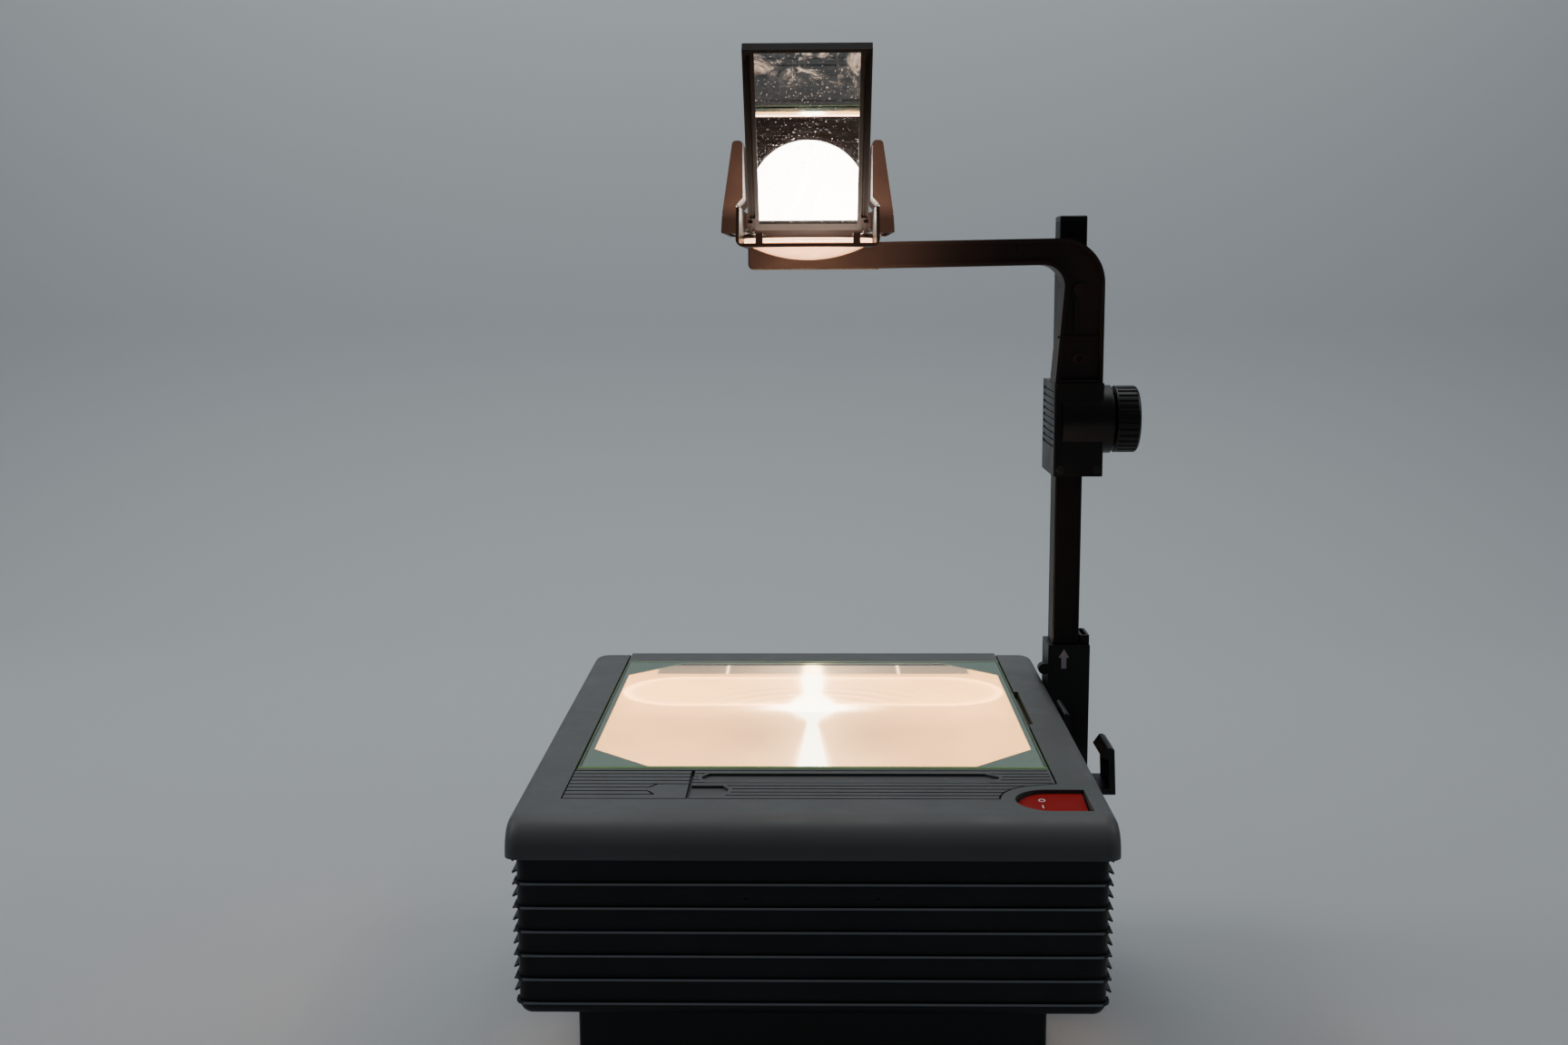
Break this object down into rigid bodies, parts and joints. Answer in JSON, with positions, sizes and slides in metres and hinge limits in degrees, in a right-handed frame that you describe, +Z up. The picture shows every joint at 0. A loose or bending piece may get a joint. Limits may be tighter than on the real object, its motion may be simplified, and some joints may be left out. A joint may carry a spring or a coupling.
{
  "type": "overhead projector",
  "caption": "Overhead projector: lit glass stage on a louvred body, with a post and arm that carry a lens head and a tilting mirror.",
  "frame": {"origin": "centre of the stage glass, on its top face", "axes": "+Z up, square to the stage; +X towards the post; -Y towards the person using it"},
  "size_m": [0.4169, 0.436, 0.6766],
  "materials": {
    "cover_plastic": "fine-textured mid grey moulding",
    "housing_plastic": "charcoal moulding",
    "black_plastic": "textured black moulding",
    "lamp_house_gloss": "gloss black paint",
    "post_paint": "satin black powder coat",
    "stage_glass": "clear float glass, green edge",
    "mask_paint": "pale grey-green",
    "fresnel_acrylic": "grooved acrylic",
    "optical_glass": "polished optical glass",
    "mirror_face": "front-silvered",
    "rocker_red": "satin red moulding",
    "mark_white": "white print",
    "arrow_grey": "pale lilac-grey inlay",
    "steel_zinc": "zinc-plated",
    "screw_black": "black oxide",
    "shaft_steel": "turned steel",
    "rack_metal": "milled steel",
    "core_steel": "varnished laminations",
    "coil_tape": "amber tape",
    "ceramic": "glazed ceramic",
    "bulb_glass": "quartz",
    "reflector_metal": "polished",
    "bracket_steel": "galvanised sheet",
    "fan_plastic": "black moulding",
    "rubber": "moulded rubber"
  },
  "bodies": {
    "base": {"top_cover": "cover_plastic", "lower_housing": "housing_plastic", "louvre_right": "housing_plastic", "louvre_left": "housing_plastic", "front_plugs": "black_plastic", "housing_screws": "steel_zinc", "hinge_pins": "shaft_steel", "switch_body": "black_plastic", "lamp_house": "lamp_house_gloss", "lamp_house_floor": "lamp_house_gloss", "rubber_feet": "rubber", "foot_screws": "steel_zinc", "transformer_core": "core_steel", "transformer_coil": "coil_tape", "lamp_bracket": "bracket_steel", "condenser_lens": "optical_glass", "heat_glass": "optical_glass", "reflector": "reflector_metal", "lamp_socket": "ceramic", "lamp_bulb": "bulb_glass", "thermal_cutout": "ceramic", "terminal_block": "ceramic", "power_inlet": "black_plastic", "fan_housing": "fan_plastic", "post_socket": "black_plastic", "socket_arrow": "arrow_grey", "post_clip": "black_plastic", "bracket_screws": "screw_black"},
    "lid": {"lid_frame": "cover_plastic", "stage_glass": "stage_glass", "stage_mask": "mask_paint", "fresnel_lens": "fresnel_acrylic", "fresnel_retainers": "bracket_steel"},
    "latch": {"latch_plate": "cover_plastic"},
    "rocker": {"power_rocker": "rocker_red", "rocker_marks": "mark_white"},
    "fan": {"fan_rotor": "fan_plastic"},
    "post": {"post_tube": "post_paint", "post_cap": "black_plastic", "gear_rack": "rack_metal"},
    "carriage": {"carriage_housing": "black_plastic", "carriage_cover": "black_plastic", "arm_screws": "screw_black", "head_arm": "black_plastic", "arm_sleeve": "black_plastic", "lens_plate": "black_plastic", "lens_lower": "optical_glass", "lens_upper": "optical_glass", "lens_ring": "black_plastic", "wing_left": "black_plastic", "wing_right": "black_plastic", "head_bridge": "black_plastic", "mirror_pivots": "shaft_steel"},
    "knob": {"focus_knob": "black_plastic", "pinion_shaft": "shaft_steel"},
    "mirror": {"mirror_tray": "black_plastic", "mirror_glass": "mirror_face"}
  },
  "joints": [
    {"name": "post_lift", "type": "slide", "parent": "base", "child": "post", "axis": [0, 0, 1], "range_m": [0, 0.08]},
    {"name": "carriage_height", "type": "slide", "parent": "post", "child": "carriage", "axis": [0, 0, 1], "range_m": [-0.02, 0.09]},
    {"name": "focus_turn", "type": "hinge", "parent": "carriage", "child": "knob", "pos_m": [0.2, 0.076, 0.1995], "axis": [1, 0, 0], "range_deg": [-440, 110]},
    {"name": "mirror_tilt", "type": "hinge", "parent": "carriage", "child": "mirror", "pos_m": [-0.0025, 0.0205, 0.3348], "axis": [1, 0, 0], "range_deg": [-12, 43]},
    {"name": "stage_lid", "type": "hinge", "parent": "base", "child": "lid", "pos_m": [0, 0.172, -0.01], "axis": [-1, 0, 0], "range_deg": [0, 42]},
    {"name": "latch_slide", "type": "slide", "parent": "lid", "child": "latch", "axis": [1, 0, 0], "range_m": [0, 0.002], "stiffness_N_per_m": 400, "springref_m": -0.001},
    {"name": "power_switch", "type": "hinge", "parent": "base", "child": "rocker", "pos_m": [0.1405, -0.2112, -0.012], "axis": [-1, 0, 0], "range_deg": [0, 12]},
    {"name": "fan_spin", "type": "hinge", "parent": "base", "child": "fan", "pos_m": [0, 0.1335, -0.166], "axis": [0, 1, 0], "continuous": true}
  ],
  "couplings": [
    {"joint": "focus_turn", "follows": "carriage_height", "rad_per_m": -83.333}
  ]
}
